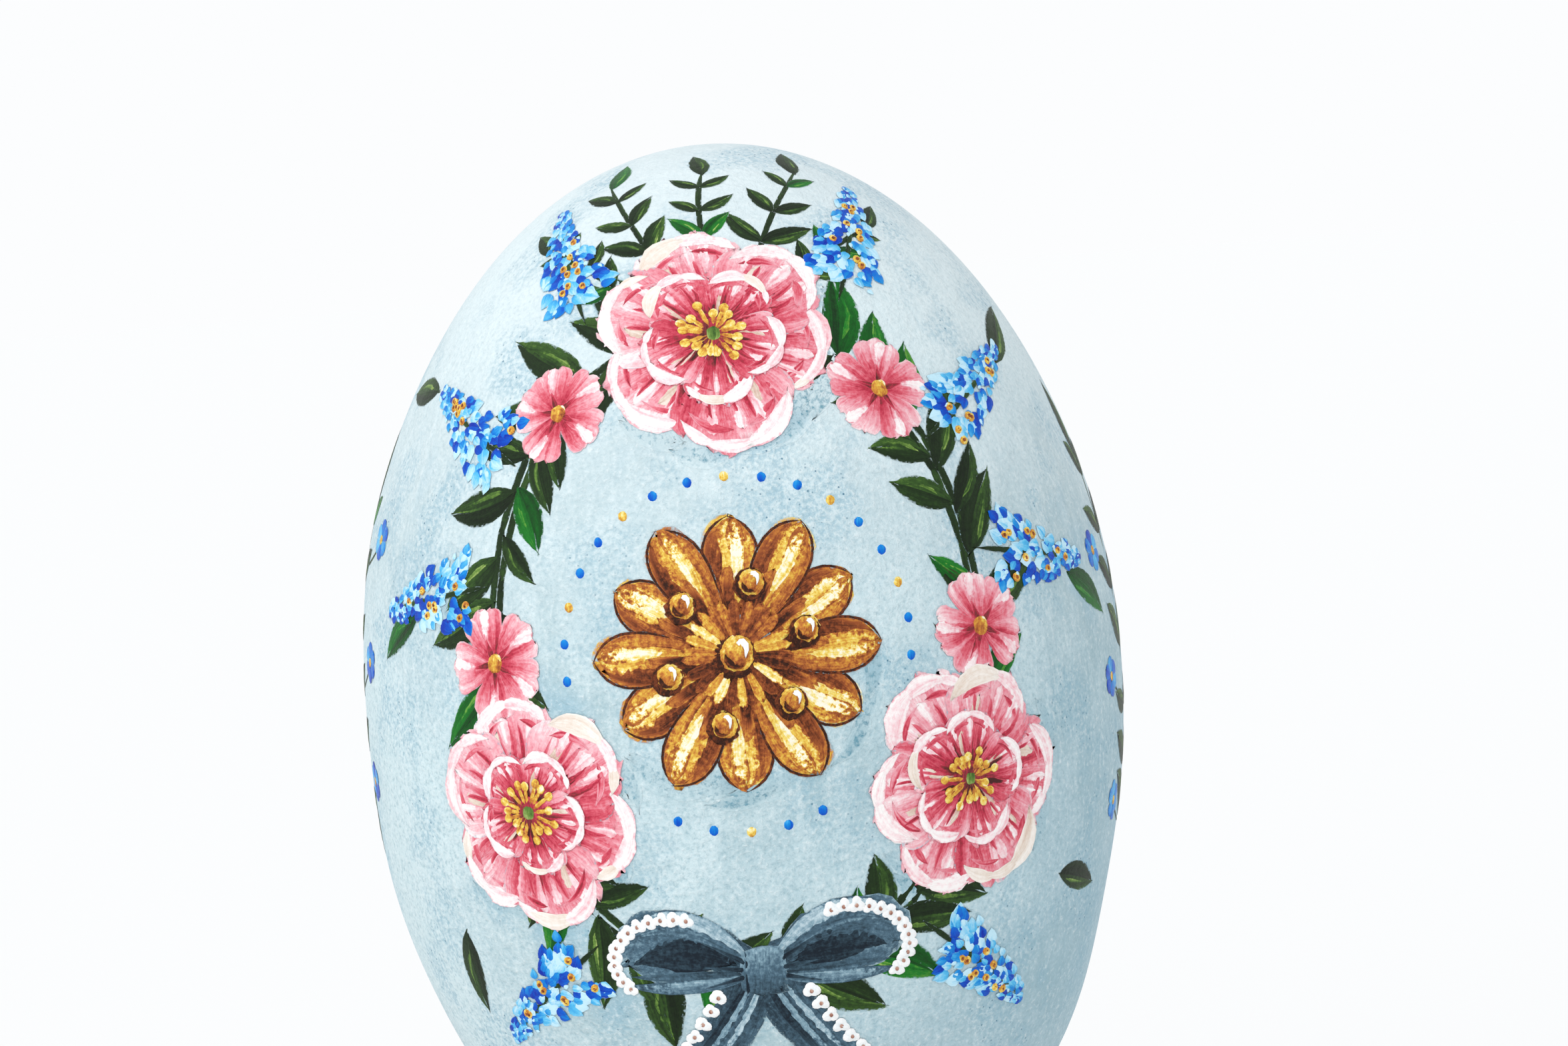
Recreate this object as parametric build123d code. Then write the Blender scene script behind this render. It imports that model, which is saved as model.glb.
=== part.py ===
from build123d import *
import os
from math import hypot, sqrt

# A hand-painted wooden egg on a turned wooden stand. The egg drops over a peg in the stand's stem
# and rests on a felt ring in the stand's cup. It turns together with the peg and lifts off it.
# Millimetres, +Z up. The origin is on the table, under the egg's axis.

# Egg, turned from one piece of wood
EGG_DIAMETER = 70.0  # at its widest line
EGG_UPPER_HEIGHT = 51.0  # from the widest line to the top
EGG_LOWER_HEIGHT = 53.0  # from the widest line to the bottom

# Peg that keeps the egg upright
PEG_DIAMETER = 8.0
PEG_IN_STEM = 14.0
PEG_IN_EGG = 14.0
PEG_CHAMFER = 0.8
PEG_RUNNING = 0.05  # radial clearance in the stem
PEG_SLIDING = 0.1  # radial clearance in the egg
PEG_FOOT_ROOM = 0.2  # under the peg, in the stem's bore
PEG_HEAD_ROOM = 1.5  # over the peg, in the egg's hole

# Felt ring that the egg rests on, lying on the slope of the cup
SEAT_DIAMETER = 38.0  # circle on which the egg rests
SEAT_WIDTH = 6.0  # of the ring, up the slope
SEAT_FELT = 1.2  # thickness
SEAT_GAP = 0.2  # air between felt and egg

# Cup
CUP_FLOOR = 5.0  # wood under the dish
CUP_POLE_ROOM = 1.5  # air between the dish and the egg's bottom
CUP_SLOPE_MARGIN = 0.8  # slope left bare outside the felt
CUP_RIM_WIDTH = 3.0
CUP_RIM_BEAD = 3.2  # height of the half-round bead around the rim
CUP_NECK_DIAMETER = 23.0  # underside that stands on the stem
CUP_SWELL = 3.4  # how far the outside bulges past a straight cone

# Stem, with a tenon at each end
STEM_LENGTH = 17.0  # between foot and cup
STEM_BASE_DIAMETER = 23.0
STEM_WAIST_DIAMETER = 15.0
STEM_TOP_DIAMETER = 19.0
STEM_BEAD = 3.0  # height of the bead at each end
STEM_STEP = 1.2  # from a bead in to the hollow of the waist
CUP_TENON_DIAMETER = 14.0
FOOT_TENON_DIAMETER = 13.0
FOOT_TENON_LENGTH = 6.0

# Foot
FOOT_DIAMETER = 62.0
FOOT_HEIGHT = 11.0
FOOT_BEAD = 4.6  # height of the half-round edge
FOOT_STEP = 2.2  # from the bead in to the hollow
FOOT_CROWN_DIAMETER = 29.0  # flat top around the stem
FOOT_CROWN_EDGE = 1.4  # upright edge of that flat top
FOOT_HOLLOW = 2.4  # how deep the hollow between bead and crown dips under a straight line

# Felt pad let into the underside of the foot
PAD_THICKNESS = 1.5
PAD_RECESS = 0.5
PAD_MARGIN = 4.0  # wood left around the pad

# Countersunk screw from the foot into the stem
SCREW_DIAMETER = 4.0
SCREW_HEAD_DIAMETER = 8.0
SCREW_HEAD_HEIGHT = 2.4
SCREW_TIP = 3.0  # length of the pointed end
SCREW_CLEARANCE = 0.2  # radial, where it passes through the foot
SCREW_WEB = 2.0  # wood left between the screw and the peg's bore
SCREW_RECESS_WIDTH = 1.1
SCREW_RECESS_SPAN = 4.4
SCREW_RECESS_DEPTH = 1.4

# Heights above the table
FOOT_UNDER = PAD_THICKNESS - PAD_RECESS
FOOT_TOP = FOOT_UNDER + FOOT_HEIGHT
CUP_UNDER = FOOT_TOP + STEM_LENGTH
DISH_FLOOR = CUP_UNDER + CUP_FLOOR
EGG_POLE = DISH_FLOOR + CUP_POLE_ROOM
EGG_WIDEST = EGG_POLE + EGG_LOWER_HEIGHT
EGG_TOP = EGG_WIDEST + EGG_UPPER_HEIGHT
PEG_FOOT = DISH_FLOOR - PEG_IN_STEM
PEG_HEAD = EGG_POLE + PEG_IN_EGG
BORE_END = PEG_FOOT - PEG_FOOT_ROOM
SCREW_END = BORE_END - SCREW_WEB

# Radii that several pieces share
EGG_RADIUS = EGG_DIAMETER / 2
PEG_RADIUS = PEG_DIAMETER / 2
SCREW_RADIUS = SCREW_DIAMETER / 2
SCREW_HEAD_RADIUS = SCREW_HEAD_DIAMETER / 2
PAD_RADIUS = FOOT_DIAMETER / 2 - PAD_MARGIN


def turned(*edges):
    # Revolves a closed outline of (radius, height) edges about the axis.
    return revolve(Plane.XZ * make_face(list(edges)), Axis.Z)


def rod(radius, low, high):
    # A round bar on the axis between two heights.
    return Pos(0, 0, low) * Cylinder(radius, high - low, align=(Align.CENTER, Align.CENTER, Align.MIN))


def bead(radius, low, high):
    # A half-round moulding that stands out of a wall of that radius.
    half = (high - low) / 2
    return ThreePointArc((radius, low), (radius + half, low + half), (radius, high))


def bowed(start, end, bulge):
    # An arc that leaves the straight line from start to end by bulge, to its right-hand side.
    run, rise = end[0] - start[0], end[1] - start[1]
    length = hypot(run, rise)
    middle = (
        (start[0] + end[0]) / 2 + bulge * rise / length,
        (start[1] + end[1]) / 2 - bulge * run / length,
    )
    return ThreePointArc(start, middle, end)


def seat_point(along, below):
    # A point that lies along mm up the slope from the circle on which the egg rests,
    # and below mm outside the egg's surface, as (radius, height).
    radius = SEAT_DIAMETER / 2
    drop = EGG_LOWER_HEIGHT * sqrt(1 - (radius / EGG_RADIUS) ** 2)
    outward, downward = radius / EGG_RADIUS**2, drop / EGG_LOWER_HEIGHT**2
    size = hypot(outward, downward)
    outward, downward = outward / size, downward / size
    return (
        radius + outward * below + downward * along,
        EGG_WIDEST - drop - downward * below + outward * along,
    )


def egg_curve(pole):
    # The egg's outline from its widest line to one of its poles, a quarter of an ellipse.
    reach = 4 / 3 * (sqrt(2) - 1)
    rise = pole - EGG_WIDEST
    return Bezier(
        (EGG_RADIUS, EGG_WIDEST),
        (EGG_RADIUS, EGG_WIDEST + reach * rise),
        (EGG_RADIUS * reach, pole),
        (0, pole),
    )


def egg_body():
    blank = turned(egg_curve(EGG_POLE), egg_curve(EGG_TOP), Line((0, EGG_TOP), (0, EGG_POLE)))
    return blank - rod(PEG_RADIUS + PEG_SLIDING, DISH_FLOOR, PEG_HEAD + PEG_HEAD_ROOM)


def locating_peg():
    peg = rod(PEG_RADIUS, PEG_FOOT, PEG_HEAD)
    return chamfer(peg.edges().filter_by(GeomType.CIRCLE), PEG_CHAMFER)


def seat_felt():
    half = SEAT_WIDTH / 2
    corners = [
        seat_point(-half, SEAT_GAP),
        seat_point(half, SEAT_GAP),
        seat_point(half, SEAT_GAP + SEAT_FELT),
        seat_point(-half, SEAT_GAP + SEAT_FELT),
    ]
    return turned(Polyline(*corners, close=True))


def stand_cup():
    under_felt = SEAT_GAP + SEAT_FELT
    mouth = seat_point(SEAT_WIDTH / 2 + CUP_SLOPE_MARGIN, under_felt)
    seat = seat_point(0, under_felt)
    slope = (mouth[1] - seat[1]) / (mouth[0] - seat[0])
    dish_edge = (seat[0] - (seat[1] - DISH_FLOOR) / slope, DISH_FLOOR)
    rim = (mouth[0] + CUP_RIM_WIDTH, mouth[1])
    under_rim = (rim[0], rim[1] - CUP_RIM_BEAD)
    neck = (CUP_NECK_DIAMETER / 2, CUP_UNDER)
    bowl = turned(
        Polyline(rim, mouth, dish_edge, (0, DISH_FLOOR), (0, CUP_UNDER), neck),
        bowed(neck, under_rim, CUP_SWELL),
        bead(rim[0], under_rim[1], rim[1]),
    )
    return bowl - rod(CUP_TENON_DIAMETER / 2, CUP_UNDER, DISH_FLOOR)


def stand_stem():
    base, top = STEM_BASE_DIAMETER / 2, STEM_TOP_DIAMETER / 2
    foot_tenon, cup_tenon = FOOT_TENON_DIAMETER / 2, CUP_TENON_DIAMETER / 2
    tenon_end = FOOT_TOP - FOOT_TENON_LENGTH
    hollow_low = (base - STEM_STEP, FOOT_TOP + STEM_BEAD)
    hollow_high = (top - STEM_STEP, CUP_UNDER - STEM_BEAD)
    waist = (STEM_WAIST_DIAMETER / 2, (hollow_low[1] + hollow_high[1]) / 2)
    turning = turned(
        Polyline((0, tenon_end), (foot_tenon, tenon_end), (foot_tenon, FOOT_TOP), (base, FOOT_TOP)),
        bead(base, FOOT_TOP, hollow_low[1]),
        Line((base, hollow_low[1]), hollow_low),
        ThreePointArc(hollow_low, waist, hollow_high),
        Line(hollow_high, (top, hollow_high[1])),
        bead(top, hollow_high[1], CUP_UNDER),
        Polyline(
            (top, CUP_UNDER),
            (cup_tenon, CUP_UNDER),
            (cup_tenon, DISH_FLOOR),
            (0, DISH_FLOOR),
            (0, tenon_end),
        ),
    )
    peg_bore = rod(PEG_RADIUS + PEG_RUNNING, BORE_END, DISH_FLOOR)
    screw_hole = rod(SCREW_RADIUS, tenon_end, SCREW_END)
    return turning - peg_bore - screw_hole


def stand_foot():
    edge = FOOT_DIAMETER / 2 - FOOT_BEAD / 2
    bead_top = FOOT_UNDER + FOOT_BEAD
    crown = FOOT_CROWN_DIAMETER / 2
    hollow_low = (edge - FOOT_STEP, bead_top)
    hollow_high = (crown, FOOT_TOP - FOOT_CROWN_EDGE)
    turning = turned(
        Line((0, FOOT_UNDER), (edge, FOOT_UNDER)),
        bead(edge, FOOT_UNDER, bead_top),
        Line((edge, bead_top), hollow_low),
        bowed(hollow_low, hollow_high, -FOOT_HOLLOW),
        Polyline(hollow_high, (crown, FOOT_TOP), (0, FOOT_TOP), (0, FOOT_UNDER)),
    )
    pad_recess = rod(PAD_RADIUS, FOOT_UNDER, PAD_THICKNESS)
    mortise = rod(FOOT_TENON_DIAMETER / 2, FOOT_TOP - FOOT_TENON_LENGTH, FOOT_TOP)
    screw_way = rod(SCREW_RADIUS + SCREW_CLEARANCE, PAD_THICKNESS, FOOT_TOP - FOOT_TENON_LENGTH)
    return turning - pad_recess - mortise - screw_way - countersink()


def countersink():
    # The cone that the screw's head fills, wide end down on the recess for the pad.
    cone = Cone(
        SCREW_HEAD_RADIUS,
        SCREW_RADIUS,
        SCREW_HEAD_HEIGHT,
        align=(Align.CENTER, Align.CENTER, Align.MIN),
    )
    return Pos(0, 0, PAD_THICKNESS) * cone


def stem_screw():
    point_start = SCREW_END - SCREW_TIP
    shank = turned(
        Polyline(
            (0, PAD_THICKNESS),
            (SCREW_RADIUS, PAD_THICKNESS),
            (SCREW_RADIUS, point_start),
            (0, SCREW_END),
            close=True,
        )
    )
    screw = shank + countersink()
    for turn in (0, 90):
        slot = Box(
            SCREW_RECESS_SPAN,
            SCREW_RECESS_WIDTH,
            SCREW_RECESS_DEPTH,
            align=(Align.CENTER, Align.CENTER, Align.MIN),
        )
        screw -= Pos(0, 0, PAD_THICKNESS) * Rot(0, 0, turn) * slot
    return screw


def foot_pad():
    return rod(PAD_RADIUS, 0, PAD_THICKNESS)


PIECES = {
    "egg_body": egg_body,
    "locating_peg": locating_peg,
    "seat_felt": seat_felt,
    "stand_cup": stand_cup,
    "stand_stem": stand_stem,
    "stand_foot": stand_foot,
    "stem_screw": stem_screw,
    "foot_pad": foot_pad,
}

os.makedirs("parts", exist_ok=True)
for name, make in PIECES.items():
    export_step(make(), f"parts/{name}.step")
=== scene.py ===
import bpy
import math
import random
from bisect import bisect
from mathutils import Matrix, Vector, noise


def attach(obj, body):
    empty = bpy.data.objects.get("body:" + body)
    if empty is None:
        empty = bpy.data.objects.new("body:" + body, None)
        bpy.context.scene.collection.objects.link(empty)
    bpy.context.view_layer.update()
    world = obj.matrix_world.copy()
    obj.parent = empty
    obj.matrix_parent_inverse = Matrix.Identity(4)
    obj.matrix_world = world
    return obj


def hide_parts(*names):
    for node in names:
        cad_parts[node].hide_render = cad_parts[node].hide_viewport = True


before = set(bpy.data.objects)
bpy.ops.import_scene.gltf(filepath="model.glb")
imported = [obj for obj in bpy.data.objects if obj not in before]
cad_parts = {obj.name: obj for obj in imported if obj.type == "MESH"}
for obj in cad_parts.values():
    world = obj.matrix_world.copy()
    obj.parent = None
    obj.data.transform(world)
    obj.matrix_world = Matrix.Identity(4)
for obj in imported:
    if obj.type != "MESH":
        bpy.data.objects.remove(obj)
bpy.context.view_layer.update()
mm = 0.001
scene = bpy.context.scene
scene.view_settings.view_transform = "Standard"
print("stage: frame loaded")


def linear(hexColour):
    parts = [int(hexColour[i:i + 2], 16) / 255 for i in (1, 3, 5)]
    return [c / 12.92 if c <= 0.04045 else ((c + 0.055) / 1.055) ** 2.4 for c in parts] + [1]


def perMetre(size):  # texture scale for a pattern of this size in mm
    return 1 / (size * mm)


def add(tree, kind, inputs=(), stops=(), **settings):  # one node, its inputs given by name or in order
    made = tree.nodes.new("ShaderNode" + kind)
    for name, value in settings.items():
        setattr(made, name, value)
    for name, value in inputs.items() if isinstance(inputs, dict) else enumerate(inputs):
        if isinstance(value, bpy.types.Node):
            value = value.outputs[0]
        if isinstance(value, bpy.types.NodeSocket):
            tree.links.new(value, made.inputs[name])
        else:
            made.inputs[name].default_value = value
    if stops:
        ramp = made.color_ramp
        while len(ramp.elements) < len(stops):
            ramp.elements.new(0.5)
        for element, (place, colour) in zip(ramp.elements, stops):
            element.position = place
            element.color = linear(colour)
    return made


def makeMaterial(name, finish, *values):  # the finish adds its nodes and gives back the shader
    material = bpy.data.materials.new(name)
    material.use_nodes = True
    tree = material.node_tree
    tree.nodes.clear()
    add(tree, "OutputMaterial", [finish(tree, *values)])
    return material


def dress(piece, material):
    piece.data.materials.clear()
    piece.data.materials.append(material)


def enter(mode):
    bpy.ops.object.mode_set(mode=mode)


def clearSelection():
    if bpy.context.mode != "OBJECT":
        enter("OBJECT")
    bpy.ops.object.select_all(action="DESELECT")


def makeActive(piece):
    clearSelection()
    piece.select_set(True)
    bpy.context.view_layer.objects.active = piece


def pick(piece, kind, wanted):  # leaves the piece in edit mode with only those vertices or edges selected
    enter("EDIT")
    bpy.ops.mesh.select_mode(type=kind)
    bpy.ops.mesh.select_all(action="DESELECT")
    enter("OBJECT")
    corners = piece.data.vertices
    for part in corners if kind == "VERT" else piece.data.edges:
        ends = [part.index] if kind == "VERT" else part.vertices
        part.select = wanted(*[corners[i].co for i in ends])
    enter("EDIT")


# Egg shape, in mm; heights are measured from the egg's lowest point
egg = {
    "pole": 35.5,           # lowest point above the table
    "radius": 35.0,
    "upper": 51.0,          # widest line to top
    "lower": 53.0,          # bottom to widest line
    "holeRadius": 4.1,      # blind hole for the peg
    "holeDepth": 15.5,
    "segments": 224,
    "rings": 150,
    "crease": 40,           # degrees, sharper edges stay sharp
    # dents and swellings left by hand sanding: angle, height, depth, reach
    "sanding": [
        (-90, 69, 0.35, 8), (-90, 37, 0.4, 7), (90, 33, -0.3, 6), (88, 20, 0.4, 6),
        (80, 62, 0.2, 10), (-70, 88, -0.25, 9), (60, 92, 0.2, 9), (150, 50, 0.3, 12),
        (-150, 70, -0.25, 12), (180, 30, 0.25, 10), (10, 60, 0.15, 14),
    ],
}
eggHeight = egg["upper"] + egg["lower"]
eggMiddle = Vector((0, 0, (egg["pole"] + egg["lower"]) * mm))


def halfLength(height):
    return egg["lower"] if height < egg["lower"] else egg["upper"]


def eggRadius(height):
    off = (height - egg["lower"]) / halfLength(height)
    return egg["radius"] * math.sqrt(max(0.0, 1 - off * off))


def sanded(angle, height):
    total = 0.0
    for where, level, depth, reach in egg["sanding"]:
        turn = (angle - where + 180) % 360 - 180
        across = math.radians(turn) * eggRadius(height)
        total += depth * math.exp(-(across ** 2 + (height - level) ** 2) / (2 * reach ** 2))
    return total


def onEgg(angle, height, lift=0.0):  # a point of the surface, angle 0 facing the camera, in metres
    radius = eggRadius(height)
    turn = math.radians(angle)
    rise = (height - egg["lower"]) / halfLength(height) ** 2
    slope = Vector((radius / egg["radius"] ** 2, rise)).normalized()
    out = sanded(angle, height) + lift
    flat = radius + slope.x * out
    up = egg["pole"] + height + slope.y * out
    return Vector((flat * math.sin(turn) * mm, -flat * math.cos(turn) * mm, up * mm))


def makeEgg():
    clearSelection()
    bpy.ops.mesh.primitive_uv_sphere_add(
        segments=egg["segments"], ring_count=egg["rings"], radius=egg["radius"] * mm, location=eggMiddle)
    piece = bpy.context.object
    piece.name = "egg_ground"
    bpy.ops.object.transform_apply(location=True, rotation=True, scale=True)
    for way, reach in ((1, egg["upper"]), (-1, egg["lower"])):  # stretch each half to its length
        pick(piece, "VERT", lambda place: (place.z - eggMiddle.z) * way > 1e-6)
        bpy.ops.transform.resize(value=(1, 1, reach / egg["radius"]), center_override=eggMiddle)
    enter("OBJECT")
    for vertex in piece.data.vertices:  # hand-sanded skin
        height = min(max(vertex.co.z / mm - egg["pole"], 0.0), eggHeight)
        vertex.co = onEgg(math.degrees(math.atan2(vertex.co.x, -vertex.co.y)), height)
    return piece


def drillEgg(piece, inside):  # opens the underside and draws the rim up into a blind hole
    piece.data.materials.append(inside)
    top = (egg["pole"] + egg["holeDepth"]) * mm
    radius = egg["holeRadius"] * mm
    slack = 0.01 * mm
    pick(piece, "VERT", lambda place: place.z < top and place.xy.length < radius)
    bpy.ops.mesh.delete(type="VERT")
    bpy.ops.mesh.select_non_manifold()
    enter("OBJECT")
    rim = [vertex for vertex in piece.data.vertices if vertex.select]
    for vertex in rim:
        vertex.co.xy *= radius / vertex.co.xy.length
    rise = top - rim[0].co.z
    enter("EDIT")
    bpy.ops.mesh.extrude_region_move(TRANSFORM_OT_translate={"value": (0, 0, rise)})
    bpy.ops.mesh.edge_face_add()
    enter("OBJECT")
    for face in piece.data.polygons:
        corners = [piece.data.vertices[i].co for i in face.vertices]
        if all(corner.xy.length < radius + slack and corner.z < top + slack for corner in corners):
            face.material_index = 1
    enter("EDIT")
    bpy.ops.mesh.select_all(action="SELECT")
    bpy.ops.mesh.normals_make_consistent(inside=False)
    enter("OBJECT")


# Ground coat: matt acrylic, brushed up and down and scumbled over primed wood.
# It gives a chalky pale blue with a fine gritty tooth, soft clouds and clusters of dark specks.
# Light and shade are also painted into it: painted light makes the top, the left side and the tooth's peaks
# paler, painted shade makes the tooth's pits darker, and the deeper lower right is partly painted shade.
ground = {
    # the crown colour is painted light, for the top of the egg and for the tooth's peaks
    "deep": "#abc5cc", "middle": "#bad2d9", "pale": "#cae0e5", "scumble": "#d8e9ed", "crown": "#e9f3f5",
    # the pit colour is painted shade, for the tooth's pits
    "pitShade": "#90b2bd", "glaze": "#86b2c5", "speck": "#246684",
    # noise patterns: size in mm, detail, roughness, twist
    "patterns": {
        "cloud": (22.0, 3.0, 0.55, 0.0), "scumble": (6.0, 6.0, 0.72, 0.0), "tooth": (0.42, 4.0, 0.66, 0.2),
        "lump": (1.5, 1.0, 0.5, 0.0), "group": (8.0, 2.0, 0.5, 0.0),
    },
    "streak": (1.1, 1.1, 30.0),  # mm, brush marks run up and down
    "fleckSpacing": 0.62,        # mm
    "fleckShare": 0.42,          # below this a fleck is left out
    "toothDepth": 0.18,          # mm
    "lumpShare": 1.2,            # height of the lumps beside the tooth
    # patterns that work together: each with where it begins and ends and its strength at both
    "together": {
        # lowRight: deeper towards the lower right, partly the ground's own tone and partly painted shade on
        # the side away from the lamp
        "lowRight": [("side", (0.0, 35.0), (0.0, 1.0)), ("height", (110.0, 60.0), (0.0, 1.0))],
        "smudge": [("group", (0.49, 0.64), (0.0, 0.9)), ("tooth", (0.4, 0.58), (0.6, 0.1))],
        "speck": [("group", (0.49, 0.64), (0.0, 0.9)), ("fleck", (0.08, 0.2), (1.0, 0.0)),
                  ("chance", (0.0, 1.0), (0.0, 1.0))],
    },
    # coats over the clouds: pattern, where it begins and ends, share of the coat at both, colour
    "coats": [
        ("streak", (0.48, 0.75), (0.0, 0.45), "scumble"),
        ("scumble", (0.5, 0.7), (0.0, 0.55), "scumble"),
        # painted light: the left side, which faces the lamp, paler
        ("side", (-35.0, 0.0), (0.3, 0.0), "scumble"),
        # deeper glaze at the lower right: partly the ground's own tone, partly painted shade
        ("lowRight", (0.0, 1.0), (0.0, 0.6), "glaze"),
        # painted shade: the pits of the tooth darker
        ("tooth", (0.28, 0.5), (0.72, 0.0), "pitShade"),
        # painted light: the top of the egg paler, as if lit from above
        ("height", (90.0, 139.5), (0.0, 0.7), "crown"),
        # painted highlights: the peaks of the tooth paler
        ("tooth", (0.54, 0.74), (0.0, 0.62), "crown"),
        ("smudge", (0.0, 1.0), (0.0, 1.0), "glaze"),
        ("speck", (0.0, 1.0), (0.0, 1.0), "speck"),
    ],
}


def groundCoat(tree):  # colour, tooth and grit of the ground, also for the paint that lies on it
    spot = add(tree, "TexCoord").outputs["Object"]
    inMm = add(tree, "Mapping", {"Vector": spot, "Scale": [1 / mm] * 3})
    place = add(tree, "SeparateXYZ", [inMm])
    drawn = add(tree, "Mapping", {"Vector": spot, "Scale": [perMetre(c) for c in ground["streak"]]})
    streak = add(tree, "TexNoise", {"Vector": drawn, "Scale": 1.0, "Detail": 2.0, "Roughness": 0.5})
    fleck = add(tree, "TexVoronoi", {"Vector": spot, "Scale": perMetre(ground["fleckSpacing"])})
    chance = add(tree, "Math", (fleck.outputs["Color"], ground["fleckShare"]), operation="GREATER_THAN")
    fields = {"side": place.outputs[0], "height": place.outputs[2]}
    fields.update(streak=streak, fleck=fleck, chance=chance)
    for name, (size, detail, rough, twist) in ground["patterns"].items():
        fields[name] = add(tree, "TexNoise", {
            "Vector": spot, "Scale": perMetre(size), "Detail": detail, "Roughness": rough,
            "Distortion": twist})
    for name, parts in ground["together"].items():
        fields[name] = 1.0
        for pattern, span, strength in parts:
            cut = add(tree, "MapRange", (fields[pattern], *span, *strength))
            fields[name] = add(tree, "Math", (fields[name], cut), operation="MULTIPLY")
    colour = add(tree, "ValToRGB", [fields["cloud"]], [
        (0.31, ground["glaze"]), (0.39, ground["deep"]), (0.5, ground["middle"]), (0.62, ground["pale"])])
    for pattern, span, shares, coat in ground["coats"]:
        share = add(tree, "MapRange", (fields[pattern], *span, *shares))
        layers = {0: share, 6: colour, 7: linear(ground[coat])}
        colour = add(tree, "Mix", layers, data_type="RGBA").outputs[2]
    grit = add(tree, "Math", (fields["lump"], ground["lumpShare"], fields["tooth"]), operation="MULTIPLY_ADD")
    return colour, fields["tooth"], grit


def groundFinish(tree):
    colour, tooth, grit = groundCoat(tree)
    relief = add(tree, "Bump", {"Height": grit, "Strength": 1.0, "Distance": ground["toothDepth"] * mm})
    return add(tree, "BsdfPrincipled", {
        "Base Color": colour, "Roughness": 0.62, "IOR": 1.48, "Normal": relief})


# Turned beech under satin varnish: pinkish tan with uneven growth rings,
# short dark ray flecks and a soft shine
beech = {
    "pale": "#d0a982", "middle": "#c99f78", "dark": "#bd9069", "ray": "#84573a",
    "ringSpacing": 2.5,         # mm, as the rest
    "ringFade": (14.0, 0.6),    # size and strength of the patches in which the rings fade
    "pith": (38.0, 22.0, 0.0),  # middle of the tree, to the side of the piece
    "pore": (0.28, 0.28, 7.0),  # across and along the grain
    "fleck": (0.85, 0.85, 4.5),  # drawn wider than real ray flecks, so that they show
    "toolLine": 0.7,            # drawn coarser than real tool lines, so that they show
    "relief": 0.03,
    "roughness": 0.42,
    "varnish": 0.35,
}


def woodFinish(tree, wood):
    spot = add(tree, "TexCoord").outputs["Object"]
    fromPith = add(tree, "Mapping", {
        "Vector": spot, "Location": [c * mm for c in wood["pith"]], "Scale": (1, 1, 0.06)})
    rings = add(tree, "TexWave", {
        "Vector": fromPith, "Scale": perMetre(wood["ringSpacing"]) * math.pi / 10, "Distortion": 4.5,
        "Detail": 3.0, "Detail Scale": 0.5, "Detail Roughness": 0.6},
        wave_type="RINGS", rings_direction="Z", wave_profile="SAW")
    size, fade = wood["ringFade"]
    patch = add(tree, "TexNoise", {
        "Vector": fromPith, "Scale": perMetre(size), "Detail": 2.0, "Roughness": 0.5})
    grown = add(tree, "Mix", {0: fade, 2: rings.outputs["Fac"], 3: patch}, data_type="FLOAT")
    colour = add(tree, "ValToRGB", [grown], [(0.2, wood["pale"]), (0.5, wood["middle"]), (0.8, wood["dark"])])
    drawn = {
        mark: add(tree, "Mapping", {"Vector": spot, "Scale": [perMetre(c) for c in wood[mark]]})
        for mark in ("pore", "fleck")}
    pores = add(tree, "TexNoise", {"Vector": drawn["pore"], "Scale": 1.0, "Detail": 3.0, "Roughness": 0.6})
    flecks = add(tree, "TexVoronoi", {"Vector": drawn["fleck"], "Scale": 1.0})
    for mark, span, shares, stain in (
            (pores, (0.5, 0.75), (0.0, 0.55), "dark"), (flecks, (0.14, 0.3), (0.8, 0.0), "ray")):
        share = add(tree, "MapRange", (mark, *span, *shares))
        colour = add(tree, "Mix", {0: share, 6: colour, 7: linear(wood[stain])}, data_type="RGBA").outputs[2]
    turned = add(tree, "Mapping", {"Vector": spot, "Scale": (0, 0, perMetre(wood["toolLine"]))})
    lines = add(tree, "TexNoise", {"Vector": turned, "Scale": 1.0, "Detail": 2.0})
    surface = add(tree, "Math", (lines, 0.5, pores), operation="MULTIPLY_ADD")
    relief = add(tree, "Bump", {"Height": surface, "Strength": 0.6, "Distance": wood["relief"] * mm})
    return add(tree, "BsdfPrincipled", {
        "Base Color": colour, "Roughness": wood["roughness"], "IOR": 1.5, "Coat Weight": wood["varnish"],
        "Coat Roughness": 0.22, "Normal": relief})


varnishedBeech = makeMaterial("varnished beech", woodFinish, beech)
for node in ("stand_cup", "stand_stem", "stand_foot"):
    dress(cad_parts[node], varnishedBeech)

# Planed birch dowel, bare: pale and dull with fine straight pores
birch = dict(beech, pale="#e9d6b3", middle="#dfc79e", dark="#c9ab7c", ray="#b8966a", ringSpacing=2.2,
             roughness=0.68, varnish=0.0)
dress(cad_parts["locating_peg"], makeMaterial("birch dowel", woodFinish, birch))

# Bare limewood inside the egg's hole: cream, close grain, dulled by the drill
lime = dict(beech, pale="#eadcc0", middle="#e2d0ae", dark="#d2bb92", ray="#c3a77b", ringSpacing=2.6,
            roughness=0.75, varnish=0.0)
bareLimewood = makeMaterial("bare limewood", woodFinish, lime)

# Bright zinc on steel, tumbled in the bath: grey shine with a faint yellow and blue bloom
zinc = {
    "blue": "#aeb6be", "grey": "#c3c4c2", "yellow": "#cbc4ad",
    "bloom": 2.5,           # mm
    "scuff": 0.4,
    "roughness": (0.26, 0.46),
}


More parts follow.
